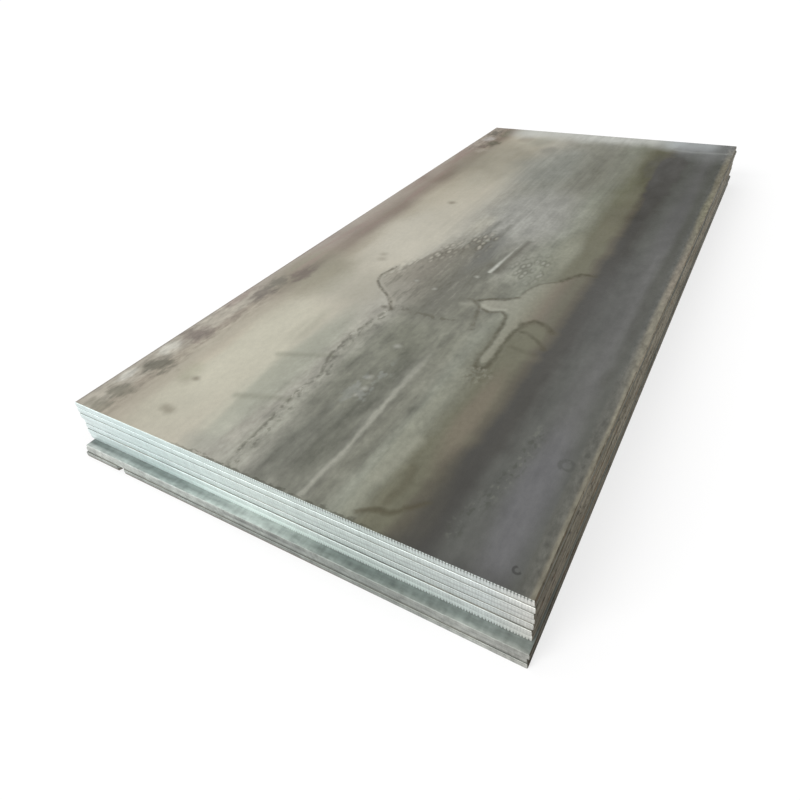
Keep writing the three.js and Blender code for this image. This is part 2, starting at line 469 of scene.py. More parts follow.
def mottle_and_grain(s):
    """Fine unevenness that the stains share with the scale under them."""
    mottle = s.uneven((0.012, 0.018), "mottle", detail=4)
    grain = s.uneven((0.003, 0.004, 0.003), "grain", detail=2)
    rough = (0.2 + s.u.within(0.36, 0.76, 0.05) * 0.22) * (s.v.ease(0.9, 0.4) * 0.55 + 0.45)
    return 1.0 + mottle * rough + grain * 0.14


def paint_far_reflection(s):
    """Painted reflection: the far end's pale strip, where the face mirrors the pale room at its low
    angle, bluish at the right, with a fainter grey one over the dark band.
    """
    wave = s.uneven((0.1, 0.25), "haze") * 0.05
    strip = (s.v + wave).ease(0.93, 0.988) * s.u.ease(0.97, 0.9) * s.u.ease(0.06, 0.17)
    s.paint(FAR_PAINTED_REFLECTION, strip * s.u.ease(0.82, 0.68) * 0.9)
    s.paint(FAR_PAINTED_REFLECTION_BLUE, strip * s.u.ease(0.68, 0.82))
    grey_reflection = (s.v + wave * 2.0).ease(0.88, 0.97) * s.u.ease(0.76, 0.84)
    s.paint(FAR_PAINTED_REFLECTION_GREY, grey_reflection * 0.55)


NEAR_LEFT_RIM = (174, 169, 156)
NEAR_LEFT_SAND = (172, 165, 150)
BAND_PINK = (150, 131, 124)
# Painted shade along the top face's left arris
LEFT_ARRIS_PAINTED_SHADE = (112, 104, 102)
# Blotches on the left band near both ends, laid out as the tone patches are
EDGE_BLOTCHES = [
    ((128, 126, 112), (0.062, 0.008), (0.032, 0.01), 0.65),
    ((112, 110, 97), (0.058, 0.032), (0.032, 0.012), 0.72),
    ((208, 206, 196), (0.024, 0.052), (0.014, 0.013), 0.8),
    ((104, 102, 90), (0.06, 0.079), (0.036, 0.016), 0.8),
    ((202, 200, 189), (0.027, 0.106), (0.017, 0.016), 0.8),
    ((122, 112, 105), (0.045, 0.139), (0.036, 0.018), 0.8),
    ((130, 121, 111), (0.07, 0.182), (0.012, 0.035), 0.6),
    ((152, 135, 129), (0.014, 0.215), (0.016, 0.03), 0.5),
    ((116, 109, 101), (0.056, 0.24), (0.026, 0.018), 0.75),
    ((114, 111, 100), (0.052, 0.268), (0.026, 0.018), 0.75),
    ((114, 104, 96), (0.085, 0.3), (0.024, 0.022), 0.8),
    ((166, 159, 147), (0.08, 0.843), (0.022, 0.014), 0.7),
    ((120, 110, 101), (0.065, 0.868), (0.018, 0.013), 0.75),
    ((100, 98, 85), (0.088, 0.893), (0.026, 0.018), 0.8),
    ((178, 173, 168), (0.046, 0.917), (0.022, 0.015), 0.8),
    ((100, 97, 88), (0.035, 0.957), (0.022, 0.024), 0.75),
    ((118, 117, 99), (0.085, 0.96), (0.018, 0.024), 0.6),
]


def left_band(s):
    """The coiler's mark along the left edge, blotched dark and pale near both ends, with painted shade
    along the left arris in its near part.
    """
    near = s.v.ease(0.3, 0.2)
    s.paint(NEAR_LEFT_RIM, s.u.ease(0.075, 0.055) * near * 0.75)
    s.paint(NEAR_LEFT_SAND, s.u.within(0.065, 0.135, 0.015) * near * 0.65)
    torn = s.uneven((0.022, 0.042), "torn", detail=5) * 2.6
    for tone, centre, size, strength in EDGE_BLOTCHES:
        blotch = (s.oval(centre, size) + torn).ease(*BLOTCH_FADE)
        s.paint(tone, blotch * strength)
    ends = s.u.ease(0.11, 0.085) * near.either(s.v.ease(0.82, 0.86))
    flaked = s.uneven((0.013, 0.04), "flaked", detail=4)
    s.shade(1.0 + flaked * ends * 1.1)
    band = s.u.ease(0.115, 0.07)
    pink = s.noise((0.03, 0.35), "pink", detail=2).ease(0.45, 0.65)
    s.paint(BAND_PINK, band * s.v.within(0.3, 0.86, 0.05) * pink * 0.5)
    # Painted shade along the left arris, over the near part of the length
    s.paint(LEFT_ARRIS_PAINTED_SHADE, s.u.ease(0.01, 0.002) * s.v.ease(0.6, 0.4) * 0.55)


# The water stains, as shares across and along, from the left and from the near end. The splash's
# and the pool's FAR and NEAR are curves over the width, and the others are drawn lines.
SPLASH_FAR = [
    (0.28, 0.336), (0.315, 0.368), (0.342, 0.396), (0.358, 0.422), (0.386, 0.438), (0.419, 0.458),
    (0.445, 0.482), (0.495, 0.47), (0.53, 0.44), (0.62, 0.4),
]
SPLASH_RIM = [
    (0.305, 0.363), (0.297, 0.349), (0.292, 0.334), (0.3, 0.321), (0.326, 0.309), (0.355, 0.299),
    (0.389, 0.285), (0.41, 0.27),
]
SPLASH_NEAR = [(0.285, 0.34), (0.3, 0.321), (0.355, 0.299), (0.41, 0.27), (0.62, 0.268)]
LEFT_SPIRE = [(0.436, 0.455), (0.441, 0.515), (0.453, 0.572)]
RIGHT_SPIRE = [(0.466, 0.455), (0.484, 0.495), (0.488, 0.535)]
DASHES = [(0.418, 0.277), (0.473, 0.273), (0.548, 0.274), (0.57, 0.278)]
POOL_FAR = [
    (0.59, 0.326), (0.613, 0.334), (0.647, 0.339), (0.672, 0.35), (0.68, 0.37), (0.696, 0.387),
    (0.741, 0.404), (0.757, 0.418), (0.776, 0.429), (0.81, 0.43),
]
POOL_NEAR = [
    (0.59, 0.322), (0.607, 0.31), (0.634, 0.307), (0.66, 0.313), (0.7, 0.305), (0.731, 0.3),
    (0.748, 0.309), (0.77, 0.306), (0.81, 0.293),
]
POOL_LEFT_BANK = [(0.605, 0.312), (0.634, 0.307), (0.66, 0.313), (0.678, 0.307), (0.686, 0.289)]
FINGER_LEFT = [(0.686, 0.289), (0.688, 0.268), (0.692, 0.248), (0.689, 0.224), (0.697, 0.21)]
FINGER_TIP = [(0.697, 0.21), (0.71, 0.206), (0.72, 0.213)]
FINGER_RIGHT = [(0.72, 0.213), (0.721, 0.233), (0.718, 0.252), (0.721, 0.279), (0.731, 0.299)]
POOL_RIGHT_BANK = [(0.731, 0.299), (0.748, 0.309), (0.77, 0.306), (0.801, 0.295)]
FINGER = [(0.704, 0.29), (0.705, 0.248), (0.704, 0.222)]
FINGER_ROOT = [(0.7, 0.312), (0.704, 0.288)]
POOL_MOUTH = [(0.604, 0.318), (0.634, 0.313), (0.664, 0.319)]
POOL_TONGUE = [(0.561, 0.312), (0.588, 0.317)]
BRANCHES = [(0.564, 0.325), (0.581, 0.323), (0.605, 0.312), (0.617, 0.288), (0.627, 0.268)]
SECOND_RIM = [(0.73, 0.284), (0.751, 0.283), (0.78, 0.275), (0.805, 0.262)]
THIRD_RIM = [(0.738, 0.254), (0.763, 0.251), (0.792, 0.25)]
DRIP = [(0.553, 0.394), (0.567, 0.488)]
SLANT = 0.7  # the curves run aslant, so they are nearer than straight along the plate

STAIN_INK = (80, 76, 61)
SPLASH_SHALLOW = (152, 149, 138)
SPLASH_DARK = (88, 87, 76)
SPLASH_PALE = (162, 159, 148)
SPLASH_CORE = (110, 111, 107)
SPIRE = (106, 106, 99)
BEAD_SHADE = (96, 92, 80)
BEAD = (188, 185, 172)
RIM_HALO = (172, 169, 156)
DROP_SHADE = (92, 90, 80)
DROP = (174, 175, 166)
FILM = (150, 153, 148)
# Across the splash, from its left rim to where it meets the pool
SPLASH_TONES = [
    (0.29, (164, 160, 147)),
    (0.345, (141, 137, 125)),
    (0.39, (126, 122, 111)),
    (0.45, (117, 115, 104)),
    (0.485, (107, 106, 97)),
    (0.58, (119, 119, 108)),
]
# Single pale drops: place, and size in metres
DROPS = [
    ((0.465, 0.476), 0.01),
    ((0.464, 0.504), 0.01),
    ((0.397, 0.34), 0.008),
    ((0.461, 0.33), 0.008),
    ((0.533, 0.377), 0.009),
    ((0.509, 0.208), 0.011),
    ((0.526, 0.135), 0.01),
    ((0.517, 0.152), 0.009),
    ((0.521, 0.124), 0.008),
    ((0.612, 0.307), 0.007),
]
DROP_SHADE_SPREAD = 2.6  # in sizes of the drop
DROP_SPREAD = 1.8
INK_BLOTS = [(0.391, 0.271), (0.412, 0.27)]
INK_BLOT_RADIUS = 0.019


def shore(s, v, points):
    """The distance in metres to a curve over the width, positive on its far side."""
    return (v - s.curve(s.u, points)) * s.length * SLANT


def rim(distance, half_width):
    """1 on a line and 0 past half_width to both sides of it."""
    return abs(distance).ease(half_width, half_width * 0.25)


def soft_lines(s, place, lines):
    """Faded lines, each with its points, colour, reach in metres and strength."""
    for points, tone, reach, strength in lines:
        s.paint(tone, s.stroke(place, points).ease(reach, 0.0) * strength)


def splash(s, place):
    """Dirty water thrown towards the far end: a thin rim near, ragged beads and tongues far."""
    tongues = s.uneven((0.01, 0.2), "tongues", detail=2) * 0.06
    far = shore(s, s.v + tongues, SPLASH_FAR)
    near = shore(s, s.v, SPLASH_NEAR)
    sharp = near.ease(-0.006, 0.008) * s.u.ease(0.41, 0.39)
    soft = near.ease(-0.05, 0.1) * s.u.ease(0.39, 0.41)
    inside = far.ease(0.015, -0.035) * (sharp + soft) * s.u.ease(0.286, 0.3) * s.u.ease(0.59, 0.52)
    tone = s.ramp(s.u, SPLASH_TONES)
    tone = s.mix(tone, SPLASH_SHALLOW, s.v.ease(0.35, 0.31) * s.u.ease(0.47, 0.38) * 0.75)
    s.paint(tone, inside * 0.88)

    streak = s.noise((0.016, 0.09), "splash streaks", detail=4)
    beyond = far.ease(0.09, -0.02) * s.u.within(0.43, 0.56, 0.02) * s.v.within(0.38, 0.56, 0.04)
    worked = inside.either(beyond * 0.7)
    s.paint(SPLASH_DARK, worked * streak.ease(0.5, 0.7) * 0.42)
    s.paint(SPLASH_PALE, worked * streak.ease(0.44, 0.28) * 0.32)
    s.paint(SPLASH_CORE, s.patch((0.5, 0.445), (0.04, 0.07), 0) * 0.6)
    frayed = streak.ease(0.34, 0.6) * 0.5 + 0.5
    for line, depth in ((LEFT_SPIRE, 0.66), (RIGHT_SPIRE, 0.68)):
        spire = s.stroke(place, line) + s.v.ease(0.46, 0.6) * 0.018
        s.paint(SPIRE, spire.ease(0.03, 0.004) * frayed * depth)
    beads(s, far, near)
    splash_rim(s, place, near)
    drops(s, place)


def beads(s, far, near):
    """Small drops that hang together along the splash's far side."""
    bead = s.droplets((0.022, 0.05), "beads")
    some = s.noise((0.04, 0.08), "some beads").ease(0.36, 0.56) * 0.55 + 0.45
    fringe = rim(far + 0.02, 0.09) * s.u.within(0.296, 0.49, 0.01) * near.ease(0.01, 0.04) * some
    shade = s.u.ease(0.33, 0.42) * 0.4 + 0.22
    s.paint(BEAD_SHADE, fringe * bead.ease(0.68, 0.4) * shade)
    s.paint(BEAD, fringe * bead.ease(0.42, 0.06) * 0.6)


def splash_rim(s, place, near):
    """The thin inked line round the splash's near side, and the dashes that go on from it."""
    line = s.stroke(place, SPLASH_RIM)
    ragged = s.noise((0.016, 0.022), "ragged rim")
    s.paint(RIM_HALO, line.ease(0.02, 0.004) * near.ease(0.0, 0.01) * 0.4)
    ink = line.ease(0.01, 0.0) * (ragged.ease(0.38, 0.56) * 0.45 + 0.25)
    s.paint(STAIN_INK, ink)
    dashes = s.stroke(place, DASHES).ease(0.018, 0.0) * ragged.ease(0.42, 0.58)
    s.paint(STAIN_INK, dashes * 0.5)
    for blot in INK_BLOTS:
        s.paint(STAIN_INK, s.drop(place, blot, INK_BLOT_RADIUS) * 0.65)


def drops(s, place):
    """Single pale drops, and a broken film where the face stayed wet."""
    for centre, size in DROPS:
        s.paint(DROP_SHADE, s.drop(place, centre, size * DROP_SHADE_SPREAD) * 0.4)
        s.paint(DROP, s.drop(place, centre, size * DROP_SPREAD) * 0.55)
    film = s.noise((0.026, 0.04), "film", detail=2)
    wet = s.patch((0.52, 0.14), (0.04, 0.05), 1)
    s.paint(FILM, wet * film.ease(0.5, 0.62) * 0.45)


# Across the pool, from its mouth to the dark band
POOL_TONES = [
    (0.6, (157, 156, 143)),
    (0.65, (149, 148, 135)),
    (0.693, (144, 144, 130)),
    (0.72, (136, 134, 119)),
    (0.747, (123, 116, 103)),
    (0.78, (102, 98, 88)),
]
# Every inked line: its points, half width in metres, strength
INK_LINES = [
    (POOL_FAR[:4], 0.0085, 0.75),
    (POOL_FAR[3:7], 0.006, 0.45),
    (POOL_FAR[6:], 0.011, 0.9),
    (POOL_LEFT_BANK, 0.009, 0.7),
    (FINGER_LEFT, 0.0085, 0.6),
    (FINGER_TIP, 0.0085, 0.75),
    (FINGER_RIGHT, 0.0085, 0.75),
    (POOL_RIGHT_BANK, 0.011, 0.9),
    (BRANCHES, 0.009, 0.55),
    (SECOND_RIM, 0.009, 0.6),
    (THIRD_RIM, 0.012, 0.3),
]
POOL_SHALLOWS = [
    (POOL_MOUTH, (170, 170, 157), 0.014, 0.45),
    (POOL_TONGUE, (152, 152, 139), 0.024, 0.6),
]
FINGER_SHADOW = (98, 97, 83)
BANK_SHADOW = (98, 93, 79)
FOAM_SHADE = (98, 95, 80)
FOAM = (150, 148, 134)


def pool(s, place):
    """Water that stood beside the splash and drained away through one finger."""
    far = shore(s, s.v, POOL_FAR)
    near = shore(s, s.v, POOL_NEAR)
    inside = far.ease(0.006, -0.012) * near.ease(-0.006, 0.012) * s.u.within(0.6, 0.8, 0.008)
    inside = inside.either(s.stroke(place, FINGER).ease(0.0175, 0.0075))
    inside = inside.either(s.stroke(place, FINGER_ROOT).ease(0.024, 0.014))
    s.paint(s.ramp(s.u, POOL_TONES), inside * s.u.ease(0.81, 0.75) * 0.85)
    soft_lines(s, place, POOL_SHALLOWS)
    shadow = s.stroke(place, FINGER_LEFT).ease(0.045, 0.008) * (1.0 - inside)
    s.paint(FINGER_SHADOW, shadow * 0.34)
    under = s.stroke(place, POOL_RIGHT_BANK).ease(0.03, 0.006) * (1.0 - inside)
    s.paint(BANK_SHADOW, under * 0.35)
    pool_ink(s, place)
    foam(s)


def pool_ink(s, place):
    """The dark lines that dried dirt left along the pool's banks."""
    strength = s.noise((0.02, 0.026), "ink").ease(0.34, 0.58) * 0.5 + 0.5
    swelling = s.uneven((0.03, 0.03), "swelling") * 0.012
    ink = None
    for points, half_width, depth in INK_LINES:
        line = (s.stroke(place, points) + swelling).ease(half_width * 1.5, 0.0) * depth
        ink = line if ink is None else ink.either(line)
    s.paint(STAIN_INK, ink * strength)


def foam(s):
    """Froth that dried beyond the finger's tip."""
    froth = s.noise((0.013, 0.02), "foam", detail=2)
    tip = s.patch((0.715, 0.2), (0.04, 0.022), 2, ragged=0.4)
    s.paint(FOAM_SHADE, tip * froth.ease(0.52, 0.6) * 0.55)
    s.paint(FOAM, tip * froth.ease(0.44, 0.36) * 0.35)


DRIP_ROOT = (100, 98, 88)
DRIP_PALE = (190, 191, 182)
SPECKLE_SHADE = (96, 96, 83)
SPECKLE = (176, 177, 166)
DRIP_SIDE = [(u + 0.014, v + 0.004) for u, v in DRIP]


def drips(s, place):
    """A pale tapering drip with a dark side, and short splashes between the two stains."""
    taper = s.v.ease(0.4, 0.488) * 0.0065
    away = s.stroke(place, DRIP)
    side = s.stroke(place, DRIP_SIDE)
    s.paint(DROP_SHADE, (side + taper).ease(0.028, 0.002) * 0.7)
    s.paint(DRIP_ROOT, s.drop(place, (0.541, 0.412), 0.03) * 0.7)
    wet = s.noise((0.03, 0.04), "wet").ease(0.3, 0.55) * 0.4 + 0.6
    pale = (away + taper).ease(0.0125, 0.0) * (s.v.ease(0.47, 0.41) * 0.45 + 0.45) * wet
    s.paint(DRIP_PALE, pale)
    speckle = s.droplets((0.021, 0.046), "splashes")
    some = s.noise((0.04, 0.07), "some splashes").ease(0.4, 0.56)
    area = s.patch((0.645, 0.42), (0.075, 0.055), 3)
    s.paint(SPECKLE_SHADE, area * speckle.ease(0.68, 0.38) * some * 0.55)
    s.paint(SPECKLE, area * speckle.ease(0.42, 0.06) * some * 0.55)


# Other marks on the face, drawn the same way
CRACK = [
    (0.404, 0.262), (0.386, 0.211), (0.39, 0.167), (0.415, 0.135), (0.406, 0.105), (0.411, 0.075),
    (0.416, 0.046), (0.418, 0.022), (0.43, 0.004),
]
SCRATCH = [(0.587, 0.0), (0.59, 0.032), (0.595, 0.064), (0.592, 0.09), (0.59, 0.13), (0.591, 0.225)]
WISP = [(0.694, 0.01), (0.712, 0.017), (0.728, 0.019), (0.742, 0.019), (0.757, 0.027), (0.788, 0.04)]
WISP_BRANCH = [(0.725, 0.028), (0.731, 0.042), (0.734, 0.052), (0.727, 0.066)]
OLIVE_GLEAM = [(0.681, 0.045), (0.7, 0.095)]
RIDGE = [(0.313, 0.03), (0.294, 0.105), (0.268, 0.17), (0.257, 0.223)]
SPECK_TRAIL = [(0.848, 0.025), (0.852, 0.042), (0.866, 0.06), (0.886, 0.105), (0.89, 0.15)]
NEAR_CREASE = [(0.299, 0.075), (0.355, 0.085), (0.407, 0.092)]
FAR_CREASE = [(0.282, 0.146), (0.393, 0.166)]
FAR_LINE = [(0.8, 0.948), (0.86, 0.942), (0.93, 0.946), (1.0, 0.95)]
# Points, colour, reach in metres, strength
CREASES = [
    (RIDGE, (202, 199, 182), 0.02, 0.35),
    (NEAR_CREASE, (134, 135, 120), 0.02, 0.45),
    (FAR_CREASE, (134, 135, 120), 0.02, 0.45),
    (OLIVE_GLEAM, (154, 154, 139), 0.032, 0.5),
]
FAR_LINES = [(FAR_LINE, (158, 160, 157), 0.022, 0.4)]
# Rust spots: place, radius in metres, strength
SPOTS = [
    ((0.232, 0.584), 0.0288, 0.55),
    ((0.178, 0.078), 0.0192, 0.6),
    ((0.16, 0.072), 0.0352, 0.25),
    ((0.21, 0.031), 0.0256, 0.45),
    ((0.193, 0.033), 0.0256, 0.45),
    ((0.229, 0.388), 0.0256, 0.35),
    ((0.241, 0.375), 0.0288, 0.3),
]
# Two small rings on the dark band: centre and radius in metres
CURL = (1.199, 0.045)
CURL_RADIUS = 0.0075
HALO = (1.196, 0.337)
HALO_RADIUS = 0.015

CRACK_PALE = (176, 175, 163)
CRACK_DARK = (88, 87, 75)
NEAR_DIRT = (78, 79, 69)
NEAR_BORDER = (72, 72, 69)
WISP_INK = (84, 79, 63)
SCRATCH_PALE = (170, 170, 158)
SPECK_PALE = (126, 129, 118)
SPECK_DARK = (74, 77, 68)
CURL_INK = (52, 52, 50)
HALO_INK = (76, 77, 73)
SPOT_RUST = (110, 102, 86)
RIGHT_BORDER = (98, 98, 92)


def crack(s, place):
    """A crackled line along the plate: broken dark strokes, and dark and pale beads beside."""
    pieces = s.noise((0.018, 0.03), "broken")
    bead = s.noise((0.016, 0.034), "tangle", detail=2)
    beside = s.stroke(place, [(u + 0.01, v) for u, v in CRACK])
    strip = beside.ease(0.028, 0.006)
    s.paint(CRACK_PALE, strip * bead.ease(0.47, 0.36) * 0.4)
    strokes = s.stroke(place, CRACK).ease(0.0105, 0.0) * pieces.ease(0.4, 0.56)
    s.paint(CRACK_DARK, strokes.either(strip * bead.ease(0.54, 0.64) * 0.7) * 0.62)


def near_arris_dirt(s):
    """Ragged dirt on the face just behind the near arris, and a dark border at its right."""
    ragged = s.noise((0.022, 0.012), "arris dirt")
    reach = s.along - ragged.ease(0.4, 0.65) * 0.011
    dirt = reach.ease(0.006, -0.003) * s.u.within(0.3, 0.77, 0.08)
    s.paint(NEAR_DIRT, dirt * 0.6)
    border = s.along.ease(0.05, 0.0) * s.u.within(0.76, 0.97, 0.03)
    s.paint(NEAR_BORDER, border * 0.42)


def wisps(s, place):
    """A thin dark line near the near arris, and its branch."""
    swelling = s.uneven((0.03, 0.03), "wisp width") * 0.016
    wisp = (s.stroke(place, WISP) + swelling).ease(0.013, 0.0) * 0.68
    wisp = wisp.either((s.stroke(place, WISP_BRANCH) + swelling).ease(0.02, 0.0) * 0.4)
    s.paint(WISP_INK, wisp)


def scratch(s, place):
    """A long pale scratch that fades away from the near end."""
    width = s.noise((0.02, 0.05), "scratch width", detail=2).ease(0.35, 0.65) * 0.004
    line = (s.stroke(place, SCRATCH) - width).ease(0.0095, -0.001) * s.v.ease(0.24, 0.13)
    s.paint(SCRATCH_PALE, line * 0.6)


def square(field):
    return field * field


def ring(s, centre, radius):
    """The distance in metres to a circle on the face, negative inside it."""
    across, along = centre
    return s.math("SQRT", square(s.across - across) + square(s.along - along)) - radius


def specks_and_rings(s, place):
    """What lies on the dark band: a trail of specks, a curl with a gap, and a broken ring."""
    speck = s.noise((0.016, 0.026), "specks", detail=2)
    trail = s.stroke(place, SPECK_TRAIL).ease(0.028, 0.004)
    s.paint(SPECK_PALE, trail * speck.ease(0.54, 0.66) * 0.35)
    s.paint(SPECK_DARK, trail * speck.ease(0.47, 0.36) * 0.45)

    curl = ring(s, CURL, CURL_RADIUS)
    gap = (s.across - CURL[0] + (s.along - CURL[1])).ease(0.009, 0.002)
    s.paint(CURL_INK, rim(curl, 0.0042) * gap * 0.6)
    halo = ring(s, HALO, HALO_RADIUS)
    s.paint(HALO_INK, rim(halo, 0.008) * speck.ease(0.38, 0.5) * 0.45)


def marks(s, place, steady_place):
    """Creases, wisps, a scratch, specks, rings and spots, each where it lies on the face."""
    soft_lines(s, place, CREASES)
    wisps(s, place)
    scratch(s, steady_place)
    specks_and_rings(s, place)
    for centre, radius, strength in SPOTS:
        s.paint(SPOT_RUST, s.drop(place, centre, radius) * strength)
    narrow = s.u.ease(0.966, 0.974) * s.u.ease(0.995, 0.988) * s.v.ease(0.34, 0.2)
    s.paint(RIGHT_BORDER, narrow * 0.85)
    soft_lines(s, place, FAR_LINES)
    flecks = s.uneven((0.01, 0.026), "border flecks", detail=4)
    s.shade(1.0 + flecks * (s.u.ease(0.962, 0.982) * 1.3))


# In linear light: what is taken off at the far end, what is taken off all over, and what stays
FAR_DARKENING = 0.08
DARKENING = 0.004
DARKEST = (0.02, 0.018, 0.012)


def darken_far_half(s):
    """Painted shade: the far half is made darker, to offset the pale room that it mirrors more at its low
    angle.
    """
    less = s.put("ShaderNodeVectorMath", operation="SUBTRACT")
    s.feed(less.inputs[0], s.colour)
    s.feed(less.inputs[1], s.v.ease(0.3, 0.88) * FAR_DARKENING + DARKENING)
    s.colour = s.vector("MAXIMUM", less.outputs[0], DARKEST).outputs[0]


def stained_face(s):
    """The top plate's upper face, from the steel's own tones to the last dirt."""
    flat_tones(s)
    left_band(s)
    paint_far_reflection(s)
    s.shade(rolling_streaks(s) * clouds(s))
    place = s.wavering_place(0.035, 0.006, "drawn lines")
    steady_place = s.wavering_place(0.05, 0.002, "steady lines")
    splash(s, place)
    pool(s, place)
    drips(s, steady_place)
    marks(s, place, steady_place)
    crack(s, place)
    near_arris_dirt(s)
    s.shade(mottle_and_grain(s))
    darken_far_half(s)
    return s.colour


# ---------------- faces that lie between plates

SCALE_BLUE = (104, 108, 104)
SCALE_PALE = (136, 136, 127)
SCALE_RUST = (112, 96, 80)


def scaled_face(s, name):
    """Plain mill scale: bluish grey with rusty clouds and streaks along the rolling direction."""
    cloud = s.noise((0.14, 0.35), name + "cloud", detail=5)
    streak = s.uneven((0.012, 0.8), name + "streak")
    grain = s.uneven((0.003, 0.004, 0.003), name + "grain", detail=2)
    s.colour = s.mix(SCALE_BLUE, SCALE_PALE, cloud.ease(0.35, 0.65))
    s.paint(SCALE_RUST, cloud.ease(0.6, 0.72) * 0.5)
    s.shade(1.0 + streak * 0.3 + grain * 0.15)
    return s.colour


# Across the strip that the upper pack leaves bare
LEDGE_TONES = [
    (0.0, (176, 182, 178)),
    (0.22, (158, 167, 163)),
    (0.47, (186, 194, 189)),
    (0.6, (150, 157, 152)),
    (0.73, (128, 135, 130)),
    (0.93, (156, 161, 155)),
    (1.0, (150, 154, 148)),
]
# Painted shadow under the upper pack's edge
LEDGE_SHADE = (100, 109, 106)


def ledge_face(s, name):
    """The strip that the upper pack leaves bare: pale scale at the left, dark at the right, with a
    painted shadow where it runs in under the upper pack.
    """
    # Painted shadow on the strip where it runs in under the upper pack: strongest at the far left,
    # weakest in the middle
    depth = s.u.ease(0.0, 0.9) * 0.004 + 0.005
    under = (s.along + depth).ease(0.01, 0.023)
    painted_shadow_strength = 0.66 - s.u.within(0.35, 0.6, 0.08) * 0.34 + s.u.ease(0.1, 0.02) * 0.24
    s.colour = s.ramp(s.u, LEDGE_TONES)
    s.paint(LEDGE_SHADE, under * painted_shadow_strength)
    streak = s.uneven((0.014, 0.08), name + "upright", detail=4)
    cloud = s.uneven((0.03, 0.012), name + "cloud", detail=4)
    s.shade(1.0 + streak * 0.8 + cloud * 1.1)
    strip = s.colour
    bare = s.along.ease(0.06, 0.04)
    return s.mix(scaled_face(s, name), strip, bare)


# ---------------- sheared ends and mill edges

# Across the ends of each pack
UPPER_END_TONES = [
    (0.0, (219, 231, 230)),
    (0.2, (210, 225, 223)),
    (0.47, (216, 227, 223)),
    (0.73, (201, 211, 207)),
    (0.93, (205, 211, 209)),
    (1.0, (216, 215, 209)),
]
LOWER_END_TONES = [
    (0.0, (198, 202, 196)),
    (0.2, (186, 192, 186)),
    (0.47, (168, 173, 167)),
    (0.73, (138, 143, 138)),
    (0.93, (170, 172, 166)),
    (1.0, (160, 160, 154)),
]
# Dark knife notches and a darker lower arris, and painted shade over the upper arris's highlight
END_DIRT_AND_SHADE = (92, 96, 91)
BOTTOM_LINE_DARK = (112, 104, 92)
# How much darker the lower arris of an end is, where it differs from the others
LOWER_ARRIS_DARKENING = {"upper_plate_6": 0.22, "upper_plate_5": 0.32, "lower_plate_3": 0.3, "lower_plate_2": 0.15}
USUAL_LOWER_ARRIS_DARKENING = 0.05
# Painted light: how much lighter the ends of the two lowest upper plates are made towards the right
ENDS_WITH_PAINTED_LIGHT = {"upper_plate_1": 0.38, "upper_plate_2": 0.16}
# The plate whose upper arris gets the least painted shade
LEAST_SHADED_UPPER_ARRIS = "upper_plate_6"
BROKEN_BAND = (0.66, 0.56)  # shares of the thickness between which the smooth band ends
UPPER_UNEVENNESS = (0.26, 0.2)  # how mottled an end is, and how coarse upright
LOWER_UNEVENNESS = (0.95, 1.0)
NOTCHES_PER_METRE = 1000  # in radians, so one every 6.3 mm


def shear_marks(s, name):
    """Short even notches that the knife leaves along an arris."""
    wobble = s.noise((0.03, 1.0), name + "notch", detail=2) * 9.0
    return (s.across * NOTCHES_PER_METRE + wobble).math("SINE").ease(-0.2, 0.7)


def cut_steel(s, name):
    """A smooth band with fine upright scores, and a coarser broken one below it."""
    upper = name in UPPER
    score = s.uneven((0.0022, 0.02, 0.05), name + "score")
    patchy = s.uneven((0.05, 0.02, 0.012), name + "patchy", detail=4)
    torn = s.uneven((0.004, 0.01, 0.0025), name + "torn")
    broken = s.up.ease(s.thickness * BROKEN_BAND[0], s.thickness * BROKEN_BAND[1])
    s.colour = s.ramp(s.u, UPPER_END_TONES if upper else LOWER_END_TONES)
    upright = s.uneven((0.012, 0.02, 0.3), "upright")
    mottled, coarse = UPPER_UNEVENNESS if upper else LOWER_UNEVENNESS
    return 1.0 + score * 0.34 + patchy * mottled + upright * coarse + torn * broken * 0.5 - broken * 0.05


def sheared_end(s, name):
    """Cut steel, brighter or darker here and there, with dark knife notches, a darker lower arris and
    painted shade over the upper arris's highlight; two ends get painted light and one painted shade.
    """
    tone = cut_steel(s, name)
    notches = shear_marks(s, name)
    right = s.u.ease(0.25, 0.9) * 0.85 + 0.15
    if name in UPPER:
        tone = tone - notches * (s.u.ease(0.15, 0.5) * 0.08 + 0.02)
    else:
        tone = tone - notches * (s.u.ease(0.3, 0.1) * 0.1 + 0.04)
    # Painted shade across the middle of the ledge plate's end, over the highlight on its arris
    if name == LEDGE:
        tone = tone - s.u.within(0.38, 0.6, 0.08) * 0.26
    # Painted light on the ends of the lowest upper plates
    if name in ENDS_WITH_PAINTED_LIGHT:
        tone = tone + s.u.ease(0.1, 0.4) * ENDS_WITH_PAINTED_LIGHT[name]
    s.shade(tone)
    low = s.up.ease(0.008, 0.002) * right
    high = s.up.ease(s.thickness - 0.006, s.thickness - 0.0015)
    if name == UPPER[0]:
        s.paint(END_DIRT_AND_SHADE, low * (notches * 0.7 + 0.05))
    elif name == TOP:
        # The top plate's end: the knife's notches, and an upper arris darkened partly as dirt and partly
        # as painted shade
        cut = s.up.ease(s.thickness * 0.35, s.thickness * 0.9) * notches
        s.paint(END_DIRT_AND_SHADE, s.u.ease(0.05, 0.75) * (cut * 0.55 + high * 0.45))
    else:
        # Painted shade over the highlight of the rolled upper arris
        upper_arris_shade = high * 0.1 if name == LEAST_SHADED_UPPER_ARRIS else high * (right * 0.26 + 0.16)
        s.paint(END_DIRT_AND_SHADE, low * LOWER_ARRIS_DARKENING.get(name, USUAL_LOWER_ARRIS_DARKENING) + upper_arris_shade)
    if name == LOWER[0]:
        retone_lowest_end(s)
    return s.colour


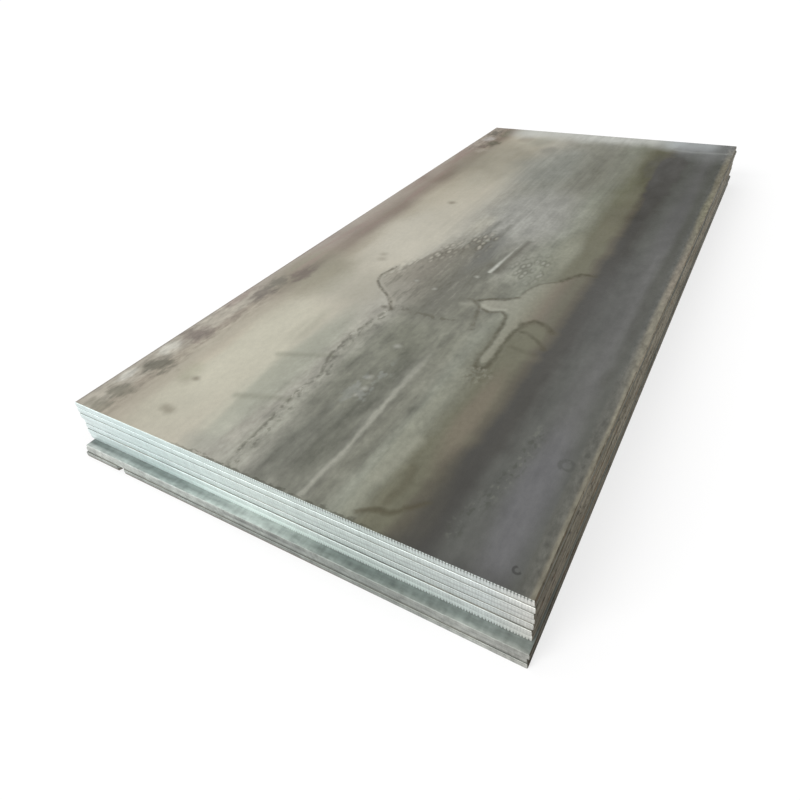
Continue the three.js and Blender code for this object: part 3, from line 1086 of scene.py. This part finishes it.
def retone_lowest_end(s):
    """The lowest end is darker at its left and a little lighter at its far right, and darker still along
    the bottom of its left part.
    """
    s.shade(1.0 - s.u.ease(0.75, 0.5) * 0.32 + s.u.ease(0.84, 0.98) * 0.12)
    floor_line = s.up.ease(0.0085, 0.0055) * s.u.ease(0.85, 0.55)
    s.paint(BOTTOM_LINE_DARK, floor_line * 0.75)


EDGE_DARK = (108, 102, 86)
EDGE_PALE = (150, 143, 126)
EDGE_RUST = (116, 94, 70)
EDGE_PIT = (62, 57, 46)
EDGE_CHIP = (170, 163, 146)
LOWER_EDGE_SHADE = 0.6  # the lower pack's edges are darker


def mill_edge(s, name):
    """Round and rusty, never cut: brown scale in long smears."""
    smear = s.noise((0.01, 0.16, 0.006), name + "smear", detail=4)
    rust = s.noise((0.02, 0.05, 0.02), name + "rust", detail=4)
    pit = s.noise((0.012, 0.018, 0.01), name + "edge pits")
    s.colour = s.mix(EDGE_DARK, EDGE_PALE, smear.ease(0.38, 0.66))
    s.paint(EDGE_RUST, rust.ease(0.52, 0.68) * 0.5)
    s.paint(EDGE_PIT, pit.ease(0.54, 0.66) * 0.65)
    s.paint(EDGE_CHIP, pit.ease(0.42, 0.32) * 0.35)
    grain = s.uneven((0.003, 0.005, 0.003), name + "edge grain", detail=2)
    near = s.v.ease(0.16, 0.0)
    shade = 1.0 if name in UPPER else LOWER_EDGE_SHADE
    s.shade((1.0 + grain * 0.35 - near * 0.38) * shade)
    return s.colour


def plate_material(name, box):
    """One material for the whole plate, since its node keeps the one slot that it came with."""
    s = Surface(name + " steel", box)
    if name == TOP:
        face = s.mix(scaled_face(s, name), stained_face(s), s.facing_up.ease(0.0, 0.3))
    elif name == LEDGE:
        face = ledge_face(s, name)
    else:
        face = scaled_face(s, name)
    colour = s.mix(face, mill_edge(s, name), s.is_mill)
    colour = s.mix(colour, sheared_end(s, name), s.is_end)

    wear = s.noise((0.05, 0.12, 0.02), name + "wear", detail=4)
    roughness = wear * 0.22 + FACE_ROUGHNESS + s.is_mill * 0.16 - s.is_end * 0.04
    metallic = FACE_METALLIC + s.is_end * 0.35 - s.is_mill * 0.1
    pits = s.noise((0.004, 0.006, 0.004), name + "pits")
    score = s.noise((0.0022, 0.02, 0.05), name + "score")
    height = pits * (1.0 - s.is_end) + score * s.is_end * 1.5
    return s.finish(colour, roughness, metallic, height)


# ---------------- floor, light and camera


def seen_directly(tree):
    """1 for rays from the camera and for rays mirrored or passed on to it, 0 for matt light."""
    path = tree.nodes.new("ShaderNodeLightPath")
    total = path.outputs["Is Camera Ray"]
    for name in ("Is Glossy Ray", "Is Transmission Ray"):
        either = tree.nodes.new("ShaderNodeMath")
        either.operation = "MAXIMUM"
        tree.links.new(total, either.inputs[0])
        tree.links.new(path.outputs[name], either.inputs[1])
        total = either.outputs[0]
    return total


def make_world():
    world = bpy.data.worlds.new("studio")
    world.use_nodes = True
    tree = world.node_tree
    strength = tree.nodes.new("ShaderNodeMapRange")
    strength.inputs["To Min"].default_value = SKY_LIGHT
    strength.inputs["To Max"].default_value = SKY_SEEN
    tree.links.new(seen_directly(tree), strength.inputs["Value"])
    background = tree.nodes["Background"]
    background.inputs["Color"].default_value = (1, 1, 1, 1)
    tree.links.new(strength.outputs[0], background.inputs["Strength"])
    bpy.context.scene.world = world


def make_floor():
    far = FLOOR_REACH
    corners = [(-far, -far, 0), (far, -far, 0), (far, far, 0), (-far, far, 0)]
    mesh = bpy.data.meshes.new("floor")
    mesh.from_pydata(corners, [], [(0, 1, 2, 3)])
    floor = bpy.data.objects.new("floor", mesh)
    bpy.context.scene.collection.objects.link(floor)
    material = bpy.data.materials.new("floor")
    material.use_nodes = True
    tree = material.node_tree
    shader = tree.nodes["Principled BSDF"]
    shader.inputs["Base Color"].default_value = (FLOOR_ALBEDO, FLOOR_ALBEDO, FLOOR_ALBEDO, 1)
    shader.inputs["Roughness"].default_value = 1.0
    shader.inputs["Specular IOR Level"].default_value = 0.0
    shader.inputs["Emission Color"].default_value = (1, 1, 1, 1)
    glow = tree.nodes.new("ShaderNodeMath")
    glow.operation = "MULTIPLY"
    glow.inputs[1].default_value = FLOOR_GLOW
    tree.links.new(seen_directly(tree), glow.inputs[0])
    tree.links.new(glow.outputs[0], shader.inputs["Emission Strength"])
    mesh.materials.append(material)


def make_key_light():
    """One broad soft light from the front left, so the right side stays dark."""
    data = bpy.data.lights.new("key", "SUN")
    data.energy = KEY_STRENGTH
    data.angle = KEY_ANGLE
    lamp = bpy.data.objects.new("key", data)
    lamp.location = KEY_FROM
    lamp.rotation_euler = (-Vector(KEY_FROM)).to_track_quat("-Z", "Y").to_euler()
    bpy.context.scene.collection.objects.link(lamp)


def make_camera():
    """The photo's camera, held by the top plate's near left corner."""
    low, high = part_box(TOP)
    corner = Vector((low[0], low[1], high[2]))
    right = Vector(CAMERA_RIGHT).normalized()
    back = right.cross(Vector(CAMERA_UP)).normalized()
    turn = Matrix((right, back.cross(right), back)).transposed()
    data = bpy.data.cameras.new("camera")
    data.sensor_width = SENSOR_WIDTH
    data.lens = CAMERA_LENS
    camera = bpy.data.objects.new("camera", data)
    place = corner + Vector(CAMERA_FROM_TOP_CORNER)
    camera.matrix_world = Matrix.Translation(place) @ turn.to_4x4()
    bpy.context.scene.collection.objects.link(camera)
    bpy.context.scene.camera = camera


for plate in UPPER + LOWER:
    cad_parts[plate].material_slots[0].material = plate_material(plate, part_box(plate))

bpy.context.scene.view_settings.view_transform = "Standard"
make_world()
make_floor()
make_key_light()
make_camera()
